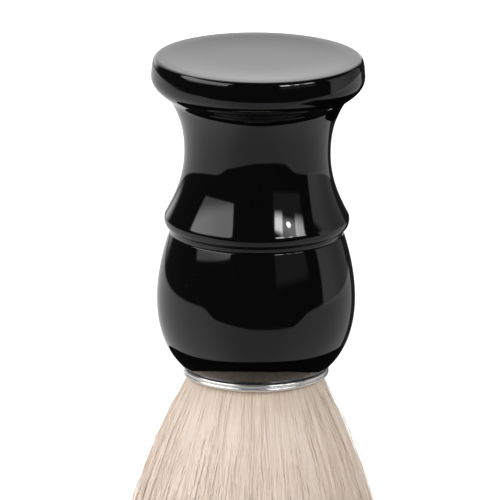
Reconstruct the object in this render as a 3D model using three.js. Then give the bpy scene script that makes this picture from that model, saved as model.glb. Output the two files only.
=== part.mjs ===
// A shaving brush that hangs from its stand: a two-part turned handle with a thick end disc, a concave
// neck, a flared skirt and a bulb, a bright beaded collar, and a knot of bristles that widens downwards.
// Millimetres, +Z up. The brush hangs with its handle up and its bristles down. The origin is on the
// brush's axis at the height where the fork of a stand bears on the neck, just under the end disc.
// Every height below is measured from the collar's lower edge, and the whole brush is lowered at the end.

import * as THREE from "three";

// ---------- driving dimensions ----------

const SEAT_HEIGHT = 44.5; // where the fork bears on the neck
const FIT_GAP = 0.3; // clearance between pieces that touch

const END_TOP = 54.3; // the end disc and its shallow dish
const END_RADIUS = 17.66;
const END_EDGE = 1.1; // rounding of its upper edge
const REST_INNER = 15.0; // the flat land that the brush stands on when it is turned over
const DISH_RADIUS = 12.0;
const DISH_DEPTH = 0.18;
const END_LOWER_EDGE = 51.5;

const NECK_TOP = new THREE.Vector2(13.85, 46.0);
const WAIST = new THREE.Vector2(12.13, 38.2);
const SKIRT_LIP = new THREE.Vector2(15.33, 27.0);
const LIP_ROUNDING = 0.35;
const NOTCH = new THREE.Vector2(14.48, 24.62);

const BULB_WIDEST = new THREE.Vector2(16.5, 13.2);
const BULB_FOOT = new THREE.Vector2(12.1, 1.85);

const TENON_RADIUS = 6;
const TENON_LENGTH = 8;
const WEIGHT_RADIUS = 5.9;
const WEIGHT_LENGTH = 12;
const SOCKET_RADIUS = 11;
const SOCKET_END = 14.5;

const COLLAR_RADIUS = 12.2;
const COLLAR_BOTTOM = 0.1;
const COLLAR_BORE = 10.3; // inside the sleeve
const COLLAR_MOUTH = 11.25; // inside the lower bead
const SLEEVE_TOP = 6;
const BEAD_PITCH = 0.62;
const BEAD_DEPTH = 0.22;

const ADHESIVE_THICKNESS = 1;
const PLUG_RADIUS = 10.6;
const PLUG_BOTTOM = 6.6;

const ROOT_RADIUS = 9.6; // the tied bristle roots inside the collar's sleeve
const ROOT_BOTTOM = 0.4;
const ROOT_TOP = 6.2;
const BINDING_BOTTOM = 3.2;
const BINDING_TURNS = 5;
const THREAD_RADIUS = 0.3;

const KNOT_MOUTH_RADIUS = 11.3; // the knot's outer shape, just under the collar
const KNOT_WIDEST_RADIUS = 23.0;
const KNOT_SHOULDER = -43; // height of the widest place, where the rounded end starts
const KNOT_TIP = -52.5;
const LOCK_TOP = -0.8; // where the moving locks start
const LOCK_GAP = 0.6;
const CORE_SHARE = 0.4; // shares of the knot's radius
const INNER_SHARE = 0.7;
const INNER_LOCKS = 8;
const OUTER_LOCKS = 14;
const LOCK_STATIONS = 8;
const LOCK_FACETS = 3;

const HANDLE_SEGMENTS = 56;
const SMALL_SEGMENTS = 32;
const EDGE_STEPS = 3;
const CURVE_STEPS = 8;

// ---------- materials ----------

function finish(color, roughness, metalness) {
  return new THREE.MeshStandardMaterial({ color, roughness, metalness });
}

const blackResin = () => finish(0x060606, 0.05, 0);
const steel = () => finish(0x8a8c90, 0.4, 1);
const chrome = () => finish(0xd8dade, 0.12, 1);
const clearGlue = () => finish(0xc9b98a, 0.5, 0);
const thread = () => finish(0xb9ab8c, 0.9, 0);
const bristle = () => finish(0xe6d8c4, 0.75, 0);

// ---------- helpers ----------

const part = new THREE.Group();
const brush = new THREE.Group();
brush.position.z = -SEAT_HEIGHT;
part.add(brush);

function addPiece(name, geometry, material) {
  const mesh = new THREE.Mesh(geometry, material);
  mesh.name = name;
  brush.add(mesh);
  return mesh;
}

// A lathe about Z of an outline given from its top, down its outside and back to its start.
function turned(points, segments) {
  return new THREE.LatheGeometry([...points].reverse(), segments).rotateX(Math.PI / 2);
}

function line(...coordinates) {
  const points = [];
  for (let i = 0; i < coordinates.length; i += 2) {
    points.push(new THREE.Vector2(coordinates[i], coordinates[i + 1]));
  }
  return points;
}

function bezier(start, startHandle, endHandle, end, steps = CURVE_STEPS) {
  return new THREE.CubicBezierCurve(start, startHandle, endHandle, end).getPoints(steps);
}

function point(radius, height) {
  return new THREE.Vector2(radius, height);
}

// A quarter-round edge from one corner of its square to the other.
function roundedEdge(start, corner, end) {
  return new THREE.QuadraticBezierCurve(start, corner, end).getPoints(EDGE_STEPS);
}

// Leaves out points that repeat the one before them, where two stretches meet.
function joined(...stretches) {
  const points = [];
  for (const next of stretches.flat()) {
    const last = points.at(-1);
    if (!last || last.distanceTo(next) > 1e-4) {
      points.push(next);
    }
  }
  return points;
}

// ---------- handle ----------

function gripOutline() {
  const boreRadius = TENON_RADIUS + FIT_GAP;
  const faceHeight = NOTCH.y + FIT_GAP;
  const boreEnd = faceHeight + TENON_LENGTH + WEIGHT_LENGTH + 2 * FIT_GAP;
  const dishHeight = END_TOP - DISH_DEPTH;
  const end = joined(
    line(0, dishHeight, DISH_RADIUS, dishHeight, REST_INNER, END_TOP),
    roundedEdge(
      point(END_RADIUS - END_EDGE, END_TOP),
      point(END_RADIUS, END_TOP),
      point(END_RADIUS, END_TOP - END_EDGE),
    ),
    bezier(
      point(END_RADIUS, END_LOWER_EDGE),
      point(END_RADIUS, END_LOWER_EDGE - 1.4),
      point(END_RADIUS - 0.9, END_LOWER_EDGE - 2.5),
      point(END_RADIUS - 2.2, END_LOWER_EDGE - 3.4),
      6,
    ),
    bezier(
      point(END_RADIUS - 2.2, END_LOWER_EDGE - 3.4),
      point(END_RADIUS - 3.1, END_LOWER_EDGE - 4.0),
      point(NECK_TOP.x + 0.3, NECK_TOP.y + 0.6),
      NECK_TOP,
      4,
    ),
  );
  const neck = joined(
    bezier(NECK_TOP, point(NECK_TOP.x - 1.1, NECK_TOP.y - 2.3), point(WAIST.x, WAIST.y + 3.2), WAIST),
    bezier(
      WAIST,
      point(WAIST.x, WAIST.y - 4.6),
      point(SKIRT_LIP.x - 1.6, SKIRT_LIP.y + 2.9),
      SKIRT_LIP,
      12,
    ),
  );
  const lip = joined(
    roundedEdge(
      SKIRT_LIP,
      point(SKIRT_LIP.x + 0.12, SKIRT_LIP.y - LIP_ROUNDING),
      point(SKIRT_LIP.x - 0.15, SKIRT_LIP.y - 2 * LIP_ROUNDING),
    ),
    line(NOTCH.x, faceHeight),
  );
  const bore = line(boreRadius, faceHeight, boreRadius, boreEnd, 0, boreEnd);
  return joined(end, neck, lip, bore);
}

function bulbOutline() {
  const tenonTop = NOTCH.y + TENON_LENGTH;
  const shoulder = line(0, tenonTop, TENON_RADIUS, tenonTop, TENON_RADIUS, NOTCH.y, NOTCH.x, NOTCH.y);
  const side = joined(
    bezier(
      NOTCH,
      point(NOTCH.x + 0.8, NOTCH.y - 2.4),
      point(BULB_WIDEST.x, BULB_WIDEST.y + 5.2),
      BULB_WIDEST,
    ),
    bezier(
      BULB_WIDEST,
      point(BULB_WIDEST.x, BULB_WIDEST.y - 3.7),
      point(BULB_FOOT.x + 3.4, BULB_FOOT.y + 2.85),
      BULB_FOOT,
      12,
    ),
  );
  const socket = line(SOCKET_RADIUS, BULB_FOOT.y, SOCKET_RADIUS, SOCKET_END, 0, SOCKET_END);
  return joined(shoulder, side, socket);
}

function addHandle() {
  addPiece("handle_grip", turned(gripOutline(), HANDLE_SEGMENTS), blackResin());
  addPiece("handle_bulb", turned(bulbOutline(), HANDLE_SEGMENTS), blackResin());
  const weightBottom = NOTCH.y + TENON_LENGTH + FIT_GAP;
  const weight = new THREE.CylinderGeometry(WEIGHT_RADIUS, WEIGHT_RADIUS, WEIGHT_LENGTH, SMALL_SEGMENTS);
  const slug = addPiece("balance_weight", weight, steel());
  slug.rotation.x = Math.PI / 2;
  slug.position.z = weightBottom + WEIGHT_LENGTH / 2;
}

// ---------- collar ----------

// Two beads stand one above the other on the outside of the collar's flange.
function collarOutline() {
  const flangeTop = BULB_FOOT.y - FIT_GAP;
  const sleeveRadius = SOCKET_RADIUS - FIT_GAP;
  const hollow = COLLAR_RADIUS - BEAD_DEPTH;
  const upperBead = bezier(
    point(hollow, flangeTop),
    point(COLLAR_RADIUS + 0.07, flangeTop - 0.05),
    point(COLLAR_RADIUS + 0.07, flangeTop - BEAD_PITCH + 0.05),
    point(hollow, flangeTop - BEAD_PITCH),
    6,
  );
  const lowerBead = upperBead.map((corner) => point(corner.x, corner.y - BEAD_PITCH));
  return joined(
    line(COLLAR_BORE, SLEEVE_TOP, sleeveRadius, SLEEVE_TOP, sleeveRadius, flangeTop),
    upperBead,
    lowerBead,
    bezier(
      point(COLLAR_MOUTH, COLLAR_BOTTOM),
      point(COLLAR_MOUTH - 0.4, COLLAR_BOTTOM + 0.3),
      point(COLLAR_BORE, COLLAR_BOTTOM + 0.9),
      point(COLLAR_BORE, COLLAR_BOTTOM + 1.8),
      5,
    ),
    line(COLLAR_BORE, SLEEVE_TOP),
  );
}

function addCollar() {
  addPiece("collar_ring", turned(collarOutline(), HANDLE_SEGMENTS), chrome());
}

// ---------- knot root ----------

function disc(radius, bottom, top, segments = SMALL_SEGMENTS) {
  return turned(line(0, top, radius, top, radius, bottom, 0, bottom), segments);
}

// Touching turns of thread, as one ring with a scalloped outside.
function bindingOutline() {
  const inner = ROOT_RADIUS + 0.05;
  const points = [];
  for (let turn = 0; turn < BINDING_TURNS; turn += 1) {
    const middle = BINDING_BOTTOM + THREAD_RADIUS * (2 * (BINDING_TURNS - turn) - 1);
    for (const angle of [60, 0, -60]) {
      const slope = THREE.MathUtils.degToRad(angle);
      points.push(point(inner + 0.1 + THREAD_RADIUS * Math.cos(slope), middle + THREAD_RADIUS * Math.sin(slope)));
    }
  }
  const top = points[0].y;
  const bottom = points.at(-1).y;
  return [point(inner, top), ...points, point(inner, bottom), point(inner, top)];
}

function addKnotRoot() {
  const bedTop = SOCKET_END - FIT_GAP;
  const bedBottom = bedTop - ADHESIVE_THICKNESS;
  addPiece("adhesive_bed", disc(PLUG_RADIUS, bedBottom, bedTop), clearGlue());
  addPiece("knot_plug", disc(PLUG_RADIUS, PLUG_BOTTOM, bedBottom - FIT_GAP), clearGlue());
  addPiece("knot_binding", turned(bindingOutline(), SMALL_SEGMENTS), thread());
}

// ---------- bristles ----------

// The knot's outer radius: a quarter wave that leaves the collar steeply and turns upright at its widest.
function knotRadius(height) {
  const share = THREE.MathUtils.clamp((LOCK_TOP - height) / (LOCK_TOP - KNOT_SHOULDER), 0, 1);
  const growth = KNOT_WIDEST_RADIUS - KNOT_MOUTH_RADIUS;
  return KNOT_MOUTH_RADIUS + growth * Math.sin((Math.PI / 2) * share);
}

// The height of the knot's rounded end at a distance from the axis.
function tipHeight(radius) {
  const share = Math.min(radius / KNOT_WIDEST_RADIUS, 1);
  return KNOT_SHOULDER + (KNOT_TIP - KNOT_SHOULDER) * Math.sqrt(1 - share * share);
}

// A layer's side, a share of the knot's radius, down to where it meets the rounded end.
function layerSide(share, offset, top) {
  const bottom = tipHeight(share * KNOT_WIDEST_RADIUS + offset);
  const points = [];
  for (let i = 0; i <= LOCK_STATIONS; i += 1) {
    const height = top + ((bottom - top) * i) / LOCK_STATIONS;
    points.push(point(share * knotRadius(height) + offset, height));
  }
  return points;
}

function roundedEnd(fromRadius, toRadius) {
  const points = [];
  for (let i = 0; i <= EDGE_STEPS; i += 1) {
    const radius = fromRadius + ((toRadius - fromRadius) * i) / EDGE_STEPS;
    points.push(point(radius, tipHeight(radius)));
  }
  return points;
}

function coreOutline() {
  const side = layerSide(CORE_SHARE, 0, ROOT_BOTTOM);
  return joined(
    line(0, ROOT_TOP, ROOT_RADIUS, ROOT_TOP, ROOT_RADIUS, ROOT_BOTTOM),
    side,
    roundedEnd(side.at(-1).x, 0),
  );
}

// One sector of the layer between two shares of the knot's radius. Its outline is extruded by one unit,
// and the extrusion is then bent round the axis, with flat sides parallel to its neighbours' sides.
function lockGeometry(innerShare, outerShare, count) {
  const outer = layerSide(outerShare, 0, LOCK_TOP);
  const inner = layerSide(innerShare, LOCK_GAP, LOCK_TOP);
  const outline = joined(outer, roundedEnd(outer.at(-1).x, inner.at(-1).x), inner.reverse());
  const geometry = new THREE.ExtrudeGeometry(new THREE.Shape(outline), {
    depth: 1,
    steps: LOCK_FACETS,
    bevelEnabled: false,
  });
  const position = geometry.getAttribute("position");
  for (let i = 0; i < position.count; i += 1) {
    const radius = position.getX(i);
    const height = position.getY(i);
    const reach = Math.PI / count - Math.asin(LOCK_GAP / 2 / radius);
    const turn = reach * (1 - 2 * position.getZ(i));
    position.setXYZ(i, radius * Math.cos(turn), radius * Math.sin(turn), height);
  }
  geometry.computeVertexNormals();
  return geometry;
}

function addLocks(prefix, innerShare, outerShare, count) {
  const geometry = lockGeometry(innerShare, outerShare, count);
  for (let i = 0; i < count; i += 1) {
    const lock = addPiece(`${prefix}_${String(i + 1).padStart(2, "0")}`, geometry, bristle());
    lock.rotation.z = (2 * Math.PI * i) / count;
  }
}

function addBristles() {
  addPiece("bristle_core", turned(coreOutline(), SMALL_SEGMENTS), bristle());
  addLocks("inner_lock", CORE_SHARE, INNER_SHARE, INNER_LOCKS);
  addLocks("outer_lock", INNER_SHARE, 1, OUTER_LOCKS);
}

// ---------- assembly ----------

addHandle();
addCollar();
addKnotRoot();
addBristles();

export default part;
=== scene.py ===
"""The looks of a shaving brush that hangs with its handle up.

It has a glossy turned handle, a bright beaded collar and a knot of separate bristles. Outlines and
heights are in millimetres until a mesh is made, and a height is measured from a datum just below the
collar. Lengths inside materials are in metres, and directions in the studio are in degrees.
"""

import math

import bpy
import numpy as np
from mathutils import Matrix, Vector


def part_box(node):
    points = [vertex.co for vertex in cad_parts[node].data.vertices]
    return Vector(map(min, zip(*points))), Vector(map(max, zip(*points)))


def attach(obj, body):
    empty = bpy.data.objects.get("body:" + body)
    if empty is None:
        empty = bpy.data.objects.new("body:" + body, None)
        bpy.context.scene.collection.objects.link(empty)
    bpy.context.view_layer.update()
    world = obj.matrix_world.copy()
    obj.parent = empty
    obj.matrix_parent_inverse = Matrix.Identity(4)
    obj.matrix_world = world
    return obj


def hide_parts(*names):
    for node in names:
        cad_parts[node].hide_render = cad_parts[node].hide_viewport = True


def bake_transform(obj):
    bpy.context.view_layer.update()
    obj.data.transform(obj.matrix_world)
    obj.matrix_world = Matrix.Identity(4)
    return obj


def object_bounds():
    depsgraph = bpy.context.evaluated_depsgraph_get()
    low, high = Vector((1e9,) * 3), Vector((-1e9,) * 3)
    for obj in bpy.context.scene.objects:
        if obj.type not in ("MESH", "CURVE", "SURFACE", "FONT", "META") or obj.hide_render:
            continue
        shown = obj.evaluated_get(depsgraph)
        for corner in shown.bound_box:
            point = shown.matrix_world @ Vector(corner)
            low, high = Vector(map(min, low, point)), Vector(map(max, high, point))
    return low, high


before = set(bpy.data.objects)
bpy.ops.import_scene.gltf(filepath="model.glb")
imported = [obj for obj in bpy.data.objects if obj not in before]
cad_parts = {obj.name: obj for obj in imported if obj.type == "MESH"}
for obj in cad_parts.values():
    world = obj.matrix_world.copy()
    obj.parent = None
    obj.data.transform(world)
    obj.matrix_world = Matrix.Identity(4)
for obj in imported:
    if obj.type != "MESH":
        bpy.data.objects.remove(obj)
cad_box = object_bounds()

MM = 0.001
COLLAR_BOTTOM = 0.1  # height of the collar's lower edge
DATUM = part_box("collar_ring")[0].z - COLLAR_BOTTOM * MM  # where height 0 is, in the frame


def at_height(height):
    return DATUM + height * MM


# ---------- node trees ----------


class Field:
    """A number worked out by nodes, which takes part in ordinary sums."""

    def __init__(self, tree, socket):
        self.tree = tree
        self.socket = socket

    def maths(self, operation, *others):
        node = self.tree.nodes.new("ShaderNodeMath")
        node.operation = operation
        self.tree.links.new(self.socket, node.inputs[0])
        for socket, other in zip(node.inputs[1:], others):
            if isinstance(other, Field):
                self.tree.links.new(other.socket, socket)
            else:
                socket.default_value = other
        return Field(self.tree, node.outputs[0])

    def __add__(self, other):
        return self.maths("ADD", other)

    def __sub__(self, other):
        return self.maths("SUBTRACT", other)

    def __mul__(self, other):
        return self.maths("MULTIPLY", other)

    __radd__ = __add__

    def opposite(self):
        """One less the number."""
        return self * -1 + 1

    def step(self, low, high):
        """Goes smoothly from 0 at low to 1 at high, whichever of them is larger."""
        node = self.tree.nodes.new("ShaderNodeMapRange")
        node.interpolation_type = "SMOOTHSTEP"
        self.tree.links.new(self.socket, node.inputs["Value"])
        node.inputs["From Min"].default_value = low
        node.inputs["From Max"].default_value = high
        return Field(self.tree, node.outputs["Result"])

    def window(self, low, high, soft):
        """One between low and high, and nothing outside them."""
        return self.step(low - soft, low + soft) * self.step(high + soft, high - soft)


def add_node(tree, kind, output=0, settings=(), **inputs):
    """Adds a shader node and gives the output socket that is asked for."""
    node = tree.nodes.new("ShaderNode" + kind)
    for name, value in dict(settings).items():
        setattr(node, name, value)
    for name, value in inputs.items():
        socket = node.inputs[name.replace("_", " ")]
        if isinstance(value, Field):
            value = value.socket
        if isinstance(value, bpy.types.NodeSocket):
            tree.links.new(value, socket)
        else:
            socket.default_value = value
    return node.outputs[output]


def noise(tree, position, scale, detail=3.0, roughness=0.5):
    socket = add_node(tree, "TexNoise", Vector=position, Scale=scale, Detail=detail, Roughness=roughness)
    return Field(tree, socket)


def scaled(tree, position, x, y, z):
    """A position stretched along each axis, which makes a noise on it finer or coarser there."""
    return add_node(tree, "Mapping", Vector=position, Scale=(x, y, z))


def mixed_colour(tree, share, start, end):
    node = tree.nodes.new("ShaderNodeMix")
    node.data_type = "RGBA"
    tree.links.new(share.socket, node.inputs[0])
    for socket, value in ((node.inputs[6], start), (node.inputs[7], end)):
        if isinstance(value, bpy.types.NodeSocket):
            tree.links.new(value, socket)
        else:
            socket.default_value = (*value, 1)
    return node.outputs[2]


def new_material(name):
    """A material with one shader, its tree, and the place on the object in the frame, in metres."""
    material = bpy.data.materials.new(name)
    material.use_nodes = True
    tree = material.node_tree
    shader = next(node for node in tree.nodes if node.type == "BSDF_PRINCIPLED")
    position = add_node(tree, "TexCoord", output="Object")
    return material, tree, shader, position


def bumped(tree, shader, height, distance):
    socket = add_node(tree, "Bump", Height=height, Distance=distance, Strength=1.0)
    tree.links.new(socket, shader.inputs["Normal"])


def set_inputs(tree, shader, **inputs):
    for name, value in inputs.items():
        socket = shader.inputs[name.replace("_", " ")]
        if isinstance(value, Field):
            value = value.socket
        if isinstance(value, bpy.types.NodeSocket):
            tree.links.new(value, socket)
        else:
            socket.default_value = value


# ---------- materials ----------

POLISH_DEPTH = 0.000004

RESIN_TINTS = ((0.0010, 0.0010, 0.0011), (0.0018, 0.0017, 0.0017))
DUST_COLOUR = (0.03, 0.029, 0.027)
RESIN_ROUGHNESS = 0.045
RESIN_IOR = 1.5

PLATING_TINTS = ((0.9, 0.89, 0.88), (0.97, 0.96, 0.95))
PLATING_ROUGHNESS = 0.2
PLATING_METALLIC = 0.88  # below 1, which dulls it a little

OCHRE = (0.78, 0.61, 0.43)
IVORY = (0.92, 0.80, 0.695)
PALE_IVORY = (0.975, 0.865, 0.775)
WORN_IVORY = (0.97, 0.875, 0.79)
# darker, warmer colour at the roots: partly the bristles' own root colour, partly painted shade under the
# collar
ROOT_TINT_AND_SHADE = (0.66, 0.51, 0.37)
BRISTLE_ROUGHNESS = 0.42
BRISTLE_SPECULAR = 0.45


def round_scratches(tree, position, across, along):
    """Hairline marks that run round the axis: a noise that changes fast with the radius and the height."""
    parts = add_node(tree, "SeparateXYZ", Vector=position).node
    x, y, z = (Field(tree, parts.outputs[i]) for i in range(3))
    radius = (x * x + y * y).maths("SQRT")
    angle = y.maths("ARCTAN2", x)
    unrolled = add_node(tree, "CombineXYZ", X=angle * along, Y=z * across, Z=radius * across)
    return noise(tree, unrolled, 1.0, 2.0)


def black_resin():
    """Deep black gloss with a slight haze, marks of turning and a few specks of dust."""
    material, tree, shader, position = new_material("black_resin")
    cloud = noise(tree, position, 60, 2.0)
    smear = noise(tree, scaled(tree, position, 1, 1, 0.4), 130, 4.0, 0.6).step(0.52, 0.72)
    marks = round_scratches(tree, position, 9000, 2.2).step(0.66, 0.74)
    dust = add_node(tree, "TexVoronoi", Vector=position, Scale=900.0)
    specks = Field(tree, dust).step(0.09, 0.04) * noise(tree, position, 240, 1.0).step(0.58, 0.66)
    tint = mixed_colour(tree, cloud, *RESIN_TINTS)
    colour = mixed_colour(tree, specks * 0.5, tint, DUST_COLOUR)
    roughness = RESIN_ROUGHNESS + smear * 0.035 + marks * 0.03 + specks * 0.3
    set_inputs(tree, shader, Base_Color=colour, Roughness=roughness, IOR=RESIN_IOR)
    ripple = noise(tree, position, 210, 1.0) + marks * 0.02
    bumped(tree, shader, ripple, POLISH_DEPTH)
    return material


def bright_plating():
    """Bright metal with fine turning marks."""
    material, tree, shader, position = new_material("bright_plating")
    cloud = noise(tree, position, 400, 3.0)
    marks = round_scratches(tree, position, 14000, 3.0).step(0.55, 0.75)
    colour = mixed_colour(tree, cloud, *PLATING_TINTS)
    roughness = PLATING_ROUGHNESS + cloud * 0.06 + marks * 0.1
    set_inputs(tree, shader, Base_Color=colour, Roughness=roughness, Metallic=PLATING_METALLIC)
    bumped(tree, shader, marks, POLISH_DEPTH)
    return material


def stored_value(tree, name):
    """A value that the mesh keeps for each of its points."""
    return Field(tree, add_node(tree, "Attribute", output="Fac", settings={"attribute_name": name}))


def bristle():
    """Each bristle has its own tone, and is a little darker and warmer where it comes out of the collar:
    partly a warmer root colour and partly painted shade under the collar.
    """
    material, tree, shader, position = new_material("bristle")
    tone = stored_value(tree, "tone")
    along = stored_value(tree, "along")
    dark = mixed_colour(tree, tone.step(0.0, 0.35), OCHRE, IVORY)
    light = mixed_colour(tree, tone.step(0.35, 1.0), dark, PALE_IVORY)
    mottle = noise(tree, scaled(tree, position, 1, 1, 0.25), 900, 2.0)
    worn = mixed_colour(tree, mottle.step(0.35, 0.8) * 0.3, light, WORN_IVORY)
    # painted shade under the collar, mixed with a warmer root colour, near the roots
    root_tint_and_shade = along.step(0.2, 0.03) * (tone.step(0.85, 0.4) * 0.8 + 0.1)
    colour = mixed_colour(tree, root_tint_and_shade, worn, ROOT_TINT_AND_SHADE)
    roughness = BRISTLE_ROUGHNESS + mottle * 0.2
    set_inputs(tree, shader, Base_Color=colour, Roughness=roughness, Specular_IOR_Level=BRISTLE_SPECULAR)
    return material


def hidden_finish(name, dark, light, scale, roughness, metallic, depth):
    """For a piece that is closed in: a mottled colour and a fine rough surface."""
    material, tree, shader, position = new_material(name)
    grain = noise(tree, position, scale, 4.0)
    set_inputs(
        tree,
        shader,
        Base_Color=mixed_colour(tree, grain.step(0.3, 0.7), dark, light),
        Roughness=grain * 0.2 + (roughness - 0.1),
        Metallic=metallic,
    )
    bumped(tree, shader, grain, depth)
    return material


RESIN = black_resin()
PLATING = bright_plating()
BRISTLE = bristle()

HIDDEN_FINISHES = {
    "balance_weight": hidden_finish(
        "weight_steel",
        dark=(0.32, 0.32, 0.33),
        light=(0.46, 0.46, 0.47),
        scale=1500,
        roughness=0.42,
        metallic=1.0,
        depth=0.00001,
    ),
    "adhesive_bed": hidden_finish(
        "cured_glue",
        dark=(0.50, 0.42, 0.24),
        light=(0.62, 0.53, 0.33),
        scale=500,
        roughness=0.4,
        metallic=0.0,
        depth=0.00003,
    ),
    "knot_plug": hidden_finish(
        "knot_resin",
        dark=(0.52, 0.45, 0.28),
        light=(0.66, 0.58, 0.38),
        scale=400,
        roughness=0.45,
        metallic=0.0,
        depth=0.00003,
    ),
    "knot_binding": hidden_finish(
        "binding_thread",
        dark=(0.42, 0.35, 0.24),
        light=(0.58, 0.50, 0.36),
        scale=4000,
        roughness=0.9,
        metallic=0.0,
        depth=0.00005,
    ),
}


def finish_hidden_nodes():
    for name, material in HIDDEN_FINISHES.items():
        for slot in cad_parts[name].material_slots:
            slot.material = material


# ---------- meshes ----------


def add_mesh(name, points, faces, material):
    """Adds a smooth mesh from points in millimetres above the datum and faces as lists of corners."""
    mesh = bpy.data.meshes.new(name)
    placed = np.asarray(points, float) * MM
    placed[:, 2] += DATUM
    mesh.from_pydata(placed.tolist(), [], faces)
    mesh.polygons.foreach_set("use_smooth", np.ones(len(mesh.polygons), bool))
    mesh.materials.append(material)
    piece = bpy.data.objects.new(name, mesh)
    bpy.context.scene.collection.objects.link(piece)
    return piece


def turned(name, outline, segments, material):
    """A closed body turned about Z from an outline of (radius, height), given down its outside and back."""
    points = []
    rings = []
    for radius, height in outline:
        if radius < 1e-6:
            rings.append([len(points)] * segments)
            points.append((0, 0, height))
            continue
        rings.append(list(range(len(points), len(points) + segments)))
        for j in range(segments):
            angle = 2 * math.pi * j / segments
            points.append((radius * math.cos(angle), radius * math.sin(angle), height))
    faces = []
    for upper, lower in zip(rings, rings[1:] + rings[:1]):
        for j in range(segments):
            k = (j + 1) % segments
            corners = list(dict.fromkeys((upper[j], lower[j], lower[k], upper[k])))
            if len(corners) > 2:
                faces.append(corners)
    return add_mesh(name, points, faces, material)


def bezier(start, start_handle, end_handle, end, steps=40):
    t = np.linspace(0, 1, steps + 1)[:, None]
    corners = [np.array(corner, float) for corner in (start, start_handle, end_handle, end)]
    weights = ((1 - t) ** 3, 3 * t * (1 - t) ** 2, 3 * t**2 * (1 - t), t**3)
    return sum(weight * corner for weight, corner in zip(weights, corners))


def arc(centre, radius, start, end, steps):
    """Points round a centre, with angles in degrees from the outward direction."""
    angles = np.radians(np.linspace(start, end, steps + 1))
    return np.column_stack((centre[0] + radius * np.cos(angles), centre[1] + radius * np.sin(angles)))


def joined(*stretches):
    """One outline from several, without the points that two of them share."""
    points = []
    for point in np.vstack([np.atleast_2d(stretch) for stretch in stretches]):
        if not points or np.hypot(*(point - points[-1])) > 1e-3:
            points.append(point)
    return np.array(points)


def faired(points, spacing, rounds):
    """Points at an even spacing along a curve, with its curvature evened out and its ends kept."""
    length = np.concatenate(([0], np.cumsum(np.hypot(*np.diff(points, axis=0).T))))
    stations = np.linspace(0, length[-1], int(length[-1] / spacing) + 1)
    even = np.column_stack([np.interp(stations, length, points[:, i]) for i in range(2)])
    for _ in range(rounds):
        even[1:-1] = even[1:-1] / 2 + (even[:-2] + even[2:]) / 4
    return even


# ---------- handle ----------

TURNED_SEGMENTS = 224
SEAM_HEIGHT = 24.62
SEAM_GAP = 0.05
TENON_RADIUS = 6.0
TENON_TOP = 32.6
BORE_RADIUS = 6.3
BORE_TOP = 45.6
SOCKET_RADIUS = 11.0
SOCKET_TOP = 14.5

# places on the outlines, as (radius, height)
DISH_EDGE = (14.4, 54.28)
LAND_EDGE = (16.6, 54.32)
DISC_WIDEST = (17.69, 51.5)
DISC_UNDERSIDE = (15.5, 48.1)
NECK_TOP = (13.85, 46.0)
WAIST = (12.13, 38.2)
SKIRT_END = (15.24, 27.55)
LIP_END = (15.14, 25.98)
BULB_WIDEST = (16.5, 13.2)
BULB_FOOT = (12.2, 1.84)
BULB_BOTTOM = 1.7

BEAD_RADIUS = 0.3
BEAD_PITCH = 0.62
UPPER_BEAD = (11.92, 1.26)
SLEEVE_INSIDE = 10.4
SLEEVE_OUTSIDE = 10.7
SLEEVE_TOP = 6.0
FLANGE_TOP = 1.6


def grip_outline():
    """The end disc with its shallow dish, the neck that the stand's fork holds, and the flared skirt."""
    dish = bezier((0, 54.08), (7.0, 54.08), (10.5, 54.13), DISH_EDGE, 24)
    land = bezier(DISH_EDGE, (15.2, 54.31), (15.9, 54.32), LAND_EDGE, 8)
    edge = bezier(LAND_EDGE, (17.4, 54.32), (17.53, 53.6), DISC_WIDEST, 60)
    side = bezier(DISC_WIDEST, (17.77, 50.4), (17.35, 49.35), DISC_UNDERSIDE, 40)
    under = bezier(DISC_UNDERSIDE, (14.7, 47.58), (14.2, 46.9), NECK_TOP, 20)
    neck = bezier(NECK_TOP, (12.7, 43.7), (12.15, 41.6), WAIST)
    flare = bezier(WAIST, (12.13, 33.6), (13.83, 30.2), SKIRT_END)
    body = joined(side, faired(joined(under, neck, flare), spacing=0.16, rounds=24))
    lip = bezier(body[-1], (15.39, 27.25), (15.43, 26.55), LIP_END, 20)
    cove = bezier(LIP_END, (14.96, 25.62), (14.54, 25.62), (14.5, 25.25), 16)
    face = SEAM_HEIGHT + SEAM_GAP
    chamfer = [(14.48, face + 0.04), (14.4, face)]
    bore = [(BORE_RADIUS, face), (BORE_RADIUS, BORE_TOP), (0, BORE_TOP)]
    return joined(dish, land, edge, body, lip, cove, chamfer, bore)


def bulb_outline():
    """The tenon, the bulb and the socket for the knot."""
    tenon_end = [(0, TENON_TOP), (5.6, TENON_TOP)]
    tenon_side = [(TENON_RADIUS, TENON_TOP - 0.4), (TENON_RADIUS, SEAM_HEIGHT)]
    rim = arc((14.28, SEAM_HEIGHT - 0.2), 0.2, 90, 20, 6)
    upper = bezier(rim[-1], (15.62, 21.05), (16.5, 17.0), BULB_WIDEST)
    lower = bezier(BULB_WIDEST, (16.5, 9.5), (15.6, 4.7), BULB_FOOT)
    side = faired(joined(upper, lower), spacing=0.18, rounds=16)
    foot = bezier(BULB_FOOT, (12.12, 1.77), (12.0, BULB_BOTTOM), (11.75, BULB_BOTTOM), 5)
    socket = [(SOCKET_RADIUS, BULB_BOTTOM), (SOCKET_RADIUS, SOCKET_TOP), (0, SOCKET_TOP)]
    return joined(tenon_end, tenon_side, rim, side, foot, socket)


def collar_outline():
    """A thin sleeve in the socket and a flange with two half-round beads below the bulb."""
    radius, height = UPPER_BEAD
    beads = [arc((radius, height - BEAD_PITCH * i), BEAD_RADIUS, 84, -84, 14) for i in range(2)]
    mouth = bezier((11.7, 0.42), (11.4, 0.4), (10.7, 0.7), (SLEEVE_INSIDE, 2.2), 8)
    sleeve = [(SLEEVE_INSIDE, SLEEVE_TOP), (SLEEVE_OUTSIDE, SLEEVE_TOP)]
    flange = [(SLEEVE_OUTSIDE, FLANGE_TOP), (11.6, FLANGE_TOP)]
    return joined(*beads, mouth, sleeve, flange)


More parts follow.
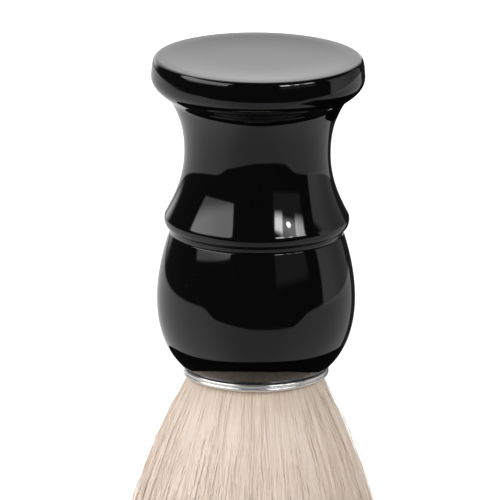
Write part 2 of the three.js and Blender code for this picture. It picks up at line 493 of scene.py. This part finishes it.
def build_handle():
    pieces = (
        ("grip_body", grip_outline(), RESIN, "black_resin", "handle_grip"),
        ("bulb_body", bulb_outline(), RESIN, "black_resin", "handle_bulb"),
        ("collar_beads", collar_outline(), PLATING, "bright_plating", "collar_ring"),
    )
    for name, outline, material, slot, node in pieces:
        piece = turned(name, outline, TURNED_SEGMENTS, material)
        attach(piece, "handle")
        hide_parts(node)


# ---------- bristles ----------

MOUTH_RADIUS = 11.3
WIDEST_RADIUS = 23.0
LOCK_TOP = -0.8
SHOULDER = -43.0
TIP = -52.5
ROOT_HEIGHT = 2.3
SLEEVE_TAPER = 0.43  # how fast the tied bristles narrow above the mouth
CORE_SHARE = 0.4
INNER_SHARE = 0.7
INNER_LOCKS = 8
OUTER_LOCKS = 14

OUTER_COUNT = 640
INNER_COUNT = 190
CORE_COUNT = 260
OUTER_CROWDING = 4.0  # how much an outer lock's bristles gather at the knot's surface
INNER_CROWDING = 1.0
LOOSE_SHARE = 0.03  # of an outer lock's bristles
LOOSE_REACH = (0.15, 0.9)  # how far loose ones stand out
OUTER_SEED = 100
INNER_SEED = 200
CORE_SEED = 300

SHORT_SHARE = 0.12  # of the bristles end early
SHORT_REACH = 5
TIP_SCATTER = 0.7
LEAN = 0.35  # spread of the sideways lean, at the tip
BULGE = 0.11  # spread of the lean outward or inward, at the tip
WAVES = ((24, 0.24), (10, 0.11), (5, 0.045))  # wavelength and size of each wave along a bristle
CRINKLE = 0.02  # spread of the small kinks at each station
TUFT_STRENGTH = 0.16
LOCK_TUFTS = 8
CORE_TUFTS = 12
LOCK_OVERLAP = 0.12  # how far a lock's edge strays into its neighbour, as a share of the lock
TONE = (0.62, 0.15)  # middle and spread
THICKNESS = (0.07, 0.1)  # a bristle's radius near its root

STATIONS = 17
SIDES = 3
STRIP_ROWS = 4


def knot_radius(height):
    """The knot's outline: it narrows inside the sleeve and widens below the collar's mouth."""
    share = np.clip((LOCK_TOP - height) / (LOCK_TOP - SHOULDER), 0, 1)
    below = MOUTH_RADIUS + (WIDEST_RADIUS - MOUTH_RADIUS) * np.sin(math.pi / 2 * share)
    return np.where(height > LOCK_TOP, MOUTH_RADIUS - SLEEVE_TAPER * (height - LOCK_TOP), below)


def tip_height(share):
    """The rounded end of the knot, for a bristle at a share of the knot's radius."""
    return SHOULDER + (TIP - SHOULDER) * np.sqrt(1 - np.minimum(share, 1) ** 2)


def smooth_step(values, low, high):
    t = np.clip((values - low) / (high - low), 0, 1)
    return t * t * (3 - 2 * t)


def centre_lines(rng, share, angle, pull, loose):
    """The middle of each bristle: (bristle, station, xyz). Loose ones stray from the knot's shape."""
    count = len(share)
    short = np.where(rng.random(count) < SHORT_SHARE, rng.uniform(0, SHORT_REACH, count), 0)
    end = tip_height(share) + rng.normal(0, TIP_SCATTER, count) + short
    t = np.linspace(0, 1, STATIONS)
    height = ROOT_HEIGHT + (end - ROOT_HEIGHT)[:, None] * t
    free = smooth_step(height, -0.5, -30)
    radius = share[:, None] * knot_radius(height)
    lean = rng.normal(0, LEAN, count)[:, None] * free
    radial = rng.normal(0, BULGE, count)[:, None] * free
    for wavelength, size in WAVES:
        phase = rng.uniform(0, 2 * math.pi, (2, count, 1))
        length = wavelength * rng.uniform(0.75, 1.35, (count, 1))
        amount = size * np.abs(rng.normal(0, 1, (count, 1))) * smooth_step(height, 0, -12)
        lean = lean + amount * np.sin(2 * math.pi * height / length + phase[0])
        radial = radial + 0.25 * amount * np.sin(2 * math.pi * height / length + phase[1])
    crinkle = rng.normal(0, CRINKLE, (2, count, STATIONS)) * smooth_step(height, 0, -6)
    crinkle = crinkle * (1 + 4 * loose[:, None])
    stray = loose[:, None] * smooth_step(height, 1, -9)
    radius = radius + radial + crinkle[0] + stray
    turn = angle[:, None] + pull[:, None] * free + (lean + crinkle[1]) / np.maximum(radius, 2)
    return np.stack((radius * np.cos(turn), radius * np.sin(turn), height), axis=-1), t


def unit(vectors):
    return vectors / np.linalg.norm(vectors, axis=-1, keepdims=True)


def bristle_mesh(name, rng, lines, t, tone, thickness):
    """Closed three-sided bristles that get thinner towards their tips, all in one mesh."""
    count, stations, _ = lines.shape
    tangent = unit(np.gradient(lines, axis=1))
    outward = unit(lines * (1, 1, 0) + (1e-6, 0, 0))
    first = unit(outward - tangent * np.sum(outward * tangent, axis=-1, keepdims=True))
    second = np.cross(tangent, first)
    taper = 1 - 0.25 * t - 0.5 * smooth_step(t, 0.82, 1.0)
    width = (thickness[:, None] * taper)[..., None]
    roll = rng.uniform(0, 2 * math.pi, (count, 1, 1))
    rings = []
    for side in range(SIDES):
        angle = roll + 2 * math.pi * side / SIDES
        rings.append(lines + width * (np.cos(angle) * first + np.sin(angle) * second))
    points = np.stack(rings, axis=2).reshape(-1, 3)

    ring = np.arange(count * stations).reshape(count, stations) * SIDES
    faces = []
    for side in range(SIDES):
        following = (side + 1) % SIDES
        here, there = ring[:, :-1], ring[:, 1:]
        quads = np.stack((here + side, here + following, there + following, there + side), axis=-1)
        faces.append(quads.reshape(-1, 4))
    quads = np.concatenate(faces)
    roots = ring[:, :1] + np.array([0, 2, 1])
    tips = ring[:, -1:] + np.array([0, 1, 2])
    piece = add_mesh(name, points, [*quads.tolist(), *roots.tolist(), *tips.tolist()], BRISTLE)
    lay_out(piece, count, stations)
    store(piece, "tone", np.repeat(tone, stations * SIDES))
    store(piece, "along", np.tile(np.repeat(t, SIDES), count))
    return piece


def lay_out(piece, count, stations):
    """Gives each bristle its own upright strip of the texture, with its three sides next to each other."""
    columns = -(-count // STRIP_ROWS)
    index = np.arange(count)
    left = (index % columns + 0.1) / columns
    bottom = (index // columns + 0.03) / STRIP_ROWS
    wide = 0.8 / columns / SIDES
    rise = np.linspace(0, 0.94 / STRIP_ROWS, stations)
    corners = []
    for side in range(SIDES):
        u = np.broadcast_to((left + side * wide)[:, None], (count, stations - 1))
        low = bottom[:, None] + rise[:-1]
        high = bottom[:, None] + rise[1:]
        face = ((u, low), (u + wide, low), (u + wide, high), (u, high))
        corners.append(np.stack([np.stack(corner, axis=-1) for corner in face], axis=-2).reshape(-1, 2))
    for height, tip in ((bottom, -0.01), (bottom + rise[-1], 0.01)):
        ends = ((left, height), (left + wide, height), (left + wide, height + tip / STRIP_ROWS))
        corners.append(np.stack([np.stack(corner, axis=-1) for corner in ends], axis=-2).reshape(-1, 2))
    layer = piece.data.uv_layers.new(name="OFBake")
    layer.data.foreach_set("uv", np.concatenate(corners).astype(np.float32).ravel())


def store(piece, name, values):
    attribute = piece.data.attributes.new(name, "FLOAT", "POINT")
    attribute.data.foreach_set("value", values.astype(np.float32))


def tuft_pull(rng, angle, tufts, strength):
    """How far each bristle leans towards the nearest of several tufts, as an angle."""
    centres = rng.uniform(angle.min(), angle.max(), tufts)
    nearest = centres[np.argmin(np.abs(angle[:, None] - centres), axis=1)]
    return (nearest - angle) * strength


def build_layer(name, rng, share, angle, tufts, loose_share):
    """One piece of bristles, from each one's share of the knot's radius and its angle round the axis."""
    count = len(share)
    loose = np.where(rng.random(count) < loose_share, rng.uniform(*LOOSE_REACH, count), 0)
    pull = tuft_pull(rng, angle, tufts, TUFT_STRENGTH)
    lines, t = centre_lines(rng, share, angle, pull, loose)
    tone = np.clip(rng.normal(*TONE, count), 0, 1)
    thickness = rng.uniform(*THICKNESS, count)
    return bristle_mesh(name, rng, lines, t, tone, thickness)


def build_lock(prefix, number, locks, low_share, high_share, count, crowding, loose_share, seed):
    """One lock of a ring of them, in place of the lock's CAD node, which is hidden."""
    rng = np.random.default_rng(seed)
    middle = 2 * math.pi * (number - 1) / locks
    angle = middle + math.pi / locks * (rng.uniform(-1, 1, count) + rng.normal(0, LOCK_OVERLAP, count))
    share = high_share - (high_share - low_share) * rng.random(count) ** crowding
    piece = build_layer(f"{prefix}_bristles_{number:02d}", rng, share, angle, LOCK_TUFTS, loose_share)
    node = f"{prefix}_lock_{number:02d}"
    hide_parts(node)
    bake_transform(piece)


def build_core():
    rng = np.random.default_rng(CORE_SEED)
    angle = rng.uniform(0, 2 * math.pi, CORE_COUNT)
    share = CORE_SHARE * np.sqrt(rng.random(CORE_COUNT))
    piece = build_layer("core_bristles", rng, share, angle, CORE_TUFTS, loose_share=0)
    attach(piece, "handle")
    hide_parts("bristle_core")


def build_bristles():
    for number in range(1, OUTER_LOCKS + 1):
        build_lock(
            "outer",
            number,
            locks=OUTER_LOCKS,
            low_share=INNER_SHARE,
            high_share=1.0,
            count=OUTER_COUNT,
            crowding=OUTER_CROWDING,
            loose_share=LOOSE_SHARE,
            seed=OUTER_SEED + number,
        )
    for number in range(1, INNER_LOCKS + 1):
        build_lock(
            "inner",
            number,
            locks=INNER_LOCKS,
            low_share=CORE_SHARE,
            high_share=INNER_SHARE,
            count=INNER_COUNT,
            crowding=INNER_CROWDING,
            loose_share=0,
            seed=INNER_SEED + number,
        )
    build_core()


# ---------- studio ----------

PICTURE_WIDTH = 82.9 * MM  # what the camera takes in at the brush
CAMERA_DISTANCE = 1.3
CAMERA_ELEVATION = 15.75
CAMERA_ROLL = 0.55
AIM = (-1.08, 21.3)  # sideways from the axis, and height
SENSOR_WIDTH = 36.0
CAMERA_REACH = 20

ROOM_TONE = 0.035  # what the gloss sees where there is nothing else
GLOW_COLOUR = (1, 0.98, 0.965, 1)
GLOW_STRENGTH = 0.63
WHITE = (1, 1, 1, 1)
LIT_HEIGHT = -10  # what the soft lamps point at

FLOOR_RADIUS = 1.6
FLOOR_GAP = 3  # below the CAD bristles
FLOOR_TONE = 0.6
FLOOR_GLOW = 0.7

CARD_TONE = 0.01
UNDER_CARD_MIDDLE = (2, 60)
UNDER_CARD_REACH = (88, 118)
UNDER_CARD_HEIGHT = -62.5
NECK_CARD_SIDES = (13.5, 25)
NECK_CARD_REACH = 22
NECK_CARD_HEIGHT = 43.6


def add_camera():
    elevation = math.radians(CAMERA_ELEVATION)
    back = Vector((0, -math.cos(elevation), math.sin(elevation)))
    data = bpy.data.cameras.new("camera")
    data.sensor_width = SENSOR_WIDTH
    data.lens = SENSOR_WIDTH * CAMERA_DISTANCE / PICTURE_WIDTH
    data.clip_end = CAMERA_REACH
    camera = bpy.data.objects.new("camera", data)
    bpy.context.scene.collection.objects.link(camera)
    aim = Vector((AIM[0] * MM, 0, at_height(AIM[1])))
    turn = back.to_track_quat("Z", "Y").to_matrix() @ Matrix.Rotation(math.radians(CAMERA_ROLL), 3, "Z")
    camera.matrix_world = Matrix.Translation(aim + back * CAMERA_DISTANCE) @ turn.to_4x4()
    bpy.context.scene.camera = camera


def table_light(azimuth, elevation):
    """A pale table below the brush, with an uneven far edge."""
    tone = 0.46 + azimuth.step(-12, -75) * 0.33 + azimuth.step(20, 60) * 0.08
    tone = tone + azimuth.maths("ABSOLUTE").step(140, 168) * 0.06
    far_edge = azimuth.step(-66, -44) * azimuth.step(64, 42) * -6 - 8.5
    far_edge = far_edge + azimuth.step(-62, 4) * azimuth.step(90, 22) * -6.5
    return (elevation - far_edge).step(0.6, -0.6) * tone


def backdrop_light(azimuth, elevation):
    """The white backdrop behind the brush."""
    wall = (azimuth.step(-136, -152) + azimuth.step(150, 170)) * elevation.step(-10, -1)
    return wall * elevation.step(64, 50) * (elevation.step(22, 8) * 0.5 + 0.9)


def left_box_light(azimuth, elevation):
    """A large soft box on the left, with slanted edges."""
    box = (azimuth + elevation).step(-74, -70) * azimuth.step(-33.5, -36)
    box = box * (elevation - azimuth * 0.19).step(23.4, 25.2)
    box = box * elevation.step(56, 50) * (elevation.step(12, 26) * 2.4 + 1.1)
    return box * (azimuth.step(-50, -80) * 0.15 + 0.85)


def right_box_light(azimuth, elevation):
    """A box on the right: two bright bars, with a dimmer panel between them and a faint one below."""
    bars = azimuth.window(26, 37, 1.5) * 15 + azimuth.window(56, 68, 1.5) * 8
    box = bars * elevation.step(22, 32) * elevation.step(38, 35.5)
    box = box + azimuth.window(24, 66, 2) * elevation.window(7, 27, 3) * 0.16
    return box + azimuth.window(36, 58, 3) * elevation.window(29, 37, 3) * 3.2


def lamp_light(azimuth, elevation):
    """A small bright lamp between the bars."""
    across = azimuth - 46
    up = elevation - 31.8
    return (across * across * 0.35 + up * up * 1.6).step(5, 2) * 30


def side_card_light(azimuth, elevation):
    """A grey card on the right, brighter towards the camera."""
    tone = azimuth.step(125, 86) * 0.42 + 0.22
    return azimuth.window(84, 142, 1.5) * elevation.window(-9, 24, 2) * tone


def studio_radiance(tree):
    """What the gloss sees in each direction. Azimuth 0 is towards the camera and 90 to its right."""
    direction = add_node(tree, "TexCoord", output="Generated")
    parts = add_node(tree, "SeparateXYZ", Vector=direction).node
    x, y, z = (Field(tree, parts.outputs[i]) for i in range(3))
    azimuth = x.maths("ARCTAN2", y * -1) * math.degrees(1)
    elevation = z.maths("ARCSINE") * math.degrees(1)

    lit = table_light(azimuth, elevation) + backdrop_light(azimuth, elevation)
    lit = lit + left_box_light(azimuth, elevation) + right_box_light(azimuth, elevation)
    lit = lit + lamp_light(azimuth, elevation) + side_card_light(azimuth, elevation)
    dark_post = azimuth.window(146, 168, 2) * elevation.step(12, 8)
    return lit * dark_post.opposite() + ROOM_TONE


def mixed_shader(tree, share, start, end):
    node = tree.nodes.new("ShaderNodeMixShader")
    for socket, source in zip(node.inputs, (share, start, end)):
        tree.links.new(source, socket)
    return node.outputs[0]


def add_world():
    """White behind what the camera sees, the studio in the gloss, and an even glow on matt surfaces."""
    world = bpy.data.worlds.new("studio")
    bpy.context.scene.world = world
    world.use_nodes = True
    tree = world.node_tree
    tree.nodes.clear()
    studio = add_node(tree, "Background", Color=WHITE, Strength=studio_radiance(tree))
    white = add_node(tree, "Background", Color=WHITE, Strength=1.0)
    seen = add_node(tree, "LightPath", output="Is Camera Ray")
    glow = add_node(tree, "Background", Color=GLOW_COLOUR, Strength=GLOW_STRENGTH)
    scattered = add_node(tree, "LightPath", output="Is Diffuse Ray")
    light = mixed_shader(tree, scattered, studio, glow)
    output = tree.nodes.new("ShaderNodeOutputWorld")
    tree.links.new(mixed_shader(tree, seen, light, white), output.inputs["Surface"])


def add_fill_light(name, azimuth, elevation, distance, size, power, colour):
    """A soft lamp for the bristles, which the gloss doesn't see."""
    data = bpy.data.lights.new(name, "AREA")
    data.shape = "DISK"
    data.size = size
    data.energy = power
    data.color = colour
    lamp = bpy.data.objects.new(name, data)
    bpy.context.scene.collection.objects.link(lamp)
    a, e = math.radians(azimuth), math.radians(elevation)
    away = Vector((math.sin(a) * math.cos(e), -math.cos(a) * math.cos(e), math.sin(e)))
    lamp.location = Vector((0, 0, at_height(LIT_HEIGHT))) + away * distance
    lamp.rotation_mode = "QUATERNION"
    lamp.rotation_quaternion = away.to_track_quat("Z", "Y")
    lamp.visible_glossy = False
    lamp.visible_camera = False


def matt_material(name, tone):
    material = bpy.data.materials.new(name)
    material.use_nodes = True
    shader = material.node_tree.nodes["Principled BSDF"]
    shader.inputs["Base Color"].default_value = (tone, tone, tone, 1)
    shader.inputs["Roughness"].default_value = 1.0
    shader.inputs["Specular IOR Level"].default_value = 0.0
    return material, shader


def add_floor():
    """A pale floor that only the camera sees, just under the bristle tips."""
    mesh = bpy.data.meshes.new("floor")
    turns = np.linspace(0, 2 * math.pi, 97)[:-1]
    ring = [(FLOOR_RADIUS * math.cos(a), FLOOR_RADIUS * math.sin(a), 0) for a in turns]
    mesh.from_pydata(ring, [], [list(range(len(ring)))])
    floor = bpy.data.objects.new("floor", mesh)
    bpy.context.scene.collection.objects.link(floor)
    floor.location.z = cad_box[0].z - FLOOR_GAP * MM
    material, shader = matt_material("pale_floor", FLOOR_TONE)
    shader.inputs["Emission Color"].default_value = WHITE
    shader.inputs["Emission Strength"].default_value = FLOOR_GLOW
    mesh.materials.append(material)
    floor.visible_glossy = False
    floor.visible_diffuse = False
    floor.visible_shadow = False


def add_flag(name, points, faces, material):
    """A black card that only the gloss sees, as a photographer sets up to shape the reflections."""
    flag = add_mesh(name, points, faces, material)
    flag.visible_camera = False
    flag.visible_diffuse = False
    flag.visible_shadow = False


def add_flags():
    """A dark oval under the brush and behind it, and a level card to the right of its neck."""
    material, _ = matt_material("black_card", CARD_TONE)
    turns = np.linspace(0, 2 * math.pi, 65)[:-1]
    x, y = UNDER_CARD_MIDDLE
    wide, deep = UNDER_CARD_REACH
    oval = [(x + wide * math.cos(a), y + deep * math.sin(a), UNDER_CARD_HEIGHT) for a in turns]
    add_flag("under_card", oval, [list(range(len(oval)))], material)
    near, far = NECK_CARD_SIDES
    corners = ((near, -1), (far, -1), (far, 1), (near, 1))
    level = [(x, side * NECK_CARD_REACH, NECK_CARD_HEIGHT) for x, side in corners]
    add_flag("neck_card", level, [[0, 1, 2, 3]], material)


def build_studio():
    add_camera()
    add_world()
    add_fill_light(
        "front_fill",
        azimuth=-56,
        elevation=30,
        distance=1.2,
        size=1.8,
        power=5.4,
        colour=(1.0, 0.98, 0.97),
    )
    add_fill_light(
        "rear_fill",
        azimuth=190,
        elevation=40,
        distance=1.2,
        size=0.9,
        power=3,
        colour=(1.0, 1.0, 1.0),
    )
    add_floor()
    add_flags()
    bpy.context.scene.view_settings.view_transform = "Standard"


finish_hidden_nodes()
build_handle()
build_bristles()
build_studio()
